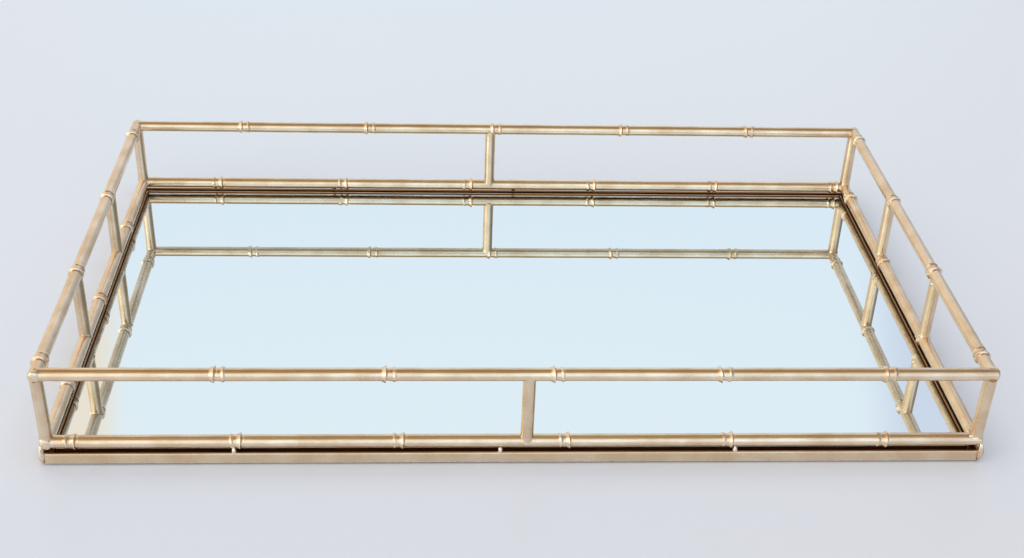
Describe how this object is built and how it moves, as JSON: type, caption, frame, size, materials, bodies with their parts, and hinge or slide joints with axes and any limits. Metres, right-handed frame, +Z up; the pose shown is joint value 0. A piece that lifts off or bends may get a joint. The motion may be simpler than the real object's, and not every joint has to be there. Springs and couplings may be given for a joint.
{
  "type": "vanity tray",
  "caption": "Rectangular mirrored vanity tray with a satin gold, bamboo-style rod gallery on plain posts, over a flat-bar base frame.",
  "frame": {"origin": "middle of the tray on the surface it stands on", "axes": "+X along the tray's length, +Y to its back, +Z up"},
  "size_m": [0.463, 0.273, 0.0558],
  "materials": {
    "gallery_gold": "satin",
    "base_gold": "satin",
    "weld_gold": "satin",
    "mirror": "polished",
    "hardboard": "matte",
    "felt": "matte"
  },
  "bodies": {
    "root": {"backing_board": "hardboard", "base_strip_back": "base_gold", "base_strip_front": "base_gold", "base_strip_left": "base_gold", "base_strip_right": "base_gold", "felt_pad_back_left": "felt", "felt_pad_back_right": "felt", "felt_pad_front_left": "felt", "felt_pad_front_right": "felt", "inner_lip_back": "base_gold", "inner_lip_front": "base_gold", "inner_lip_left": "base_gold", "inner_lip_right": "base_gold", "mirror_glass": "mirror", "post_back_left": "gallery_gold", "post_back_middle": "gallery_gold", "post_back_right": "gallery_gold", "post_front_left": "gallery_gold", "post_front_middle": "gallery_gold", "post_front_right": "gallery_gold", "post_left_side_back": "gallery_gold", "post_left_side_front": "gallery_gold", "post_right_side_back": "gallery_gold", "post_right_side_front": "gallery_gold", "rail_lower_back": "gallery_gold", "rail_lower_front": "gallery_gold", "rail_lower_left": "gallery_gold", "rail_lower_right": "gallery_gold", "rail_upper_back": "gallery_gold", "rail_upper_front": "gallery_gold", "rail_upper_left": "gallery_gold", "rail_upper_right": "gallery_gold", "retaining_tab_back_1": "base_gold", "retaining_tab_back_2": "base_gold", "retaining_tab_back_3": "base_gold", "retaining_tab_front_1": "base_gold", "retaining_tab_front_2": "base_gold", "retaining_tab_front_3": "base_gold", "retaining_tab_left": "base_gold", "retaining_tab_right": "base_gold", "standoff_weld_back_1": "weld_gold", "standoff_weld_back_2": "weld_gold", "standoff_weld_back_3": "weld_gold", "standoff_weld_corner_back_left": "weld_gold", "standoff_weld_corner_back_right": "weld_gold", "standoff_weld_corner_front_left": "weld_gold", "standoff_weld_corner_front_right": "weld_gold", "standoff_weld_front_1": "weld_gold", "standoff_weld_front_2": "weld_gold", "standoff_weld_front_3": "weld_gold", "standoff_weld_left_1": "weld_gold", "standoff_weld_left_2": "weld_gold", "standoff_weld_right_1": "weld_gold", "standoff_weld_right_2": "weld_gold"}
  },
  "joints": []
}
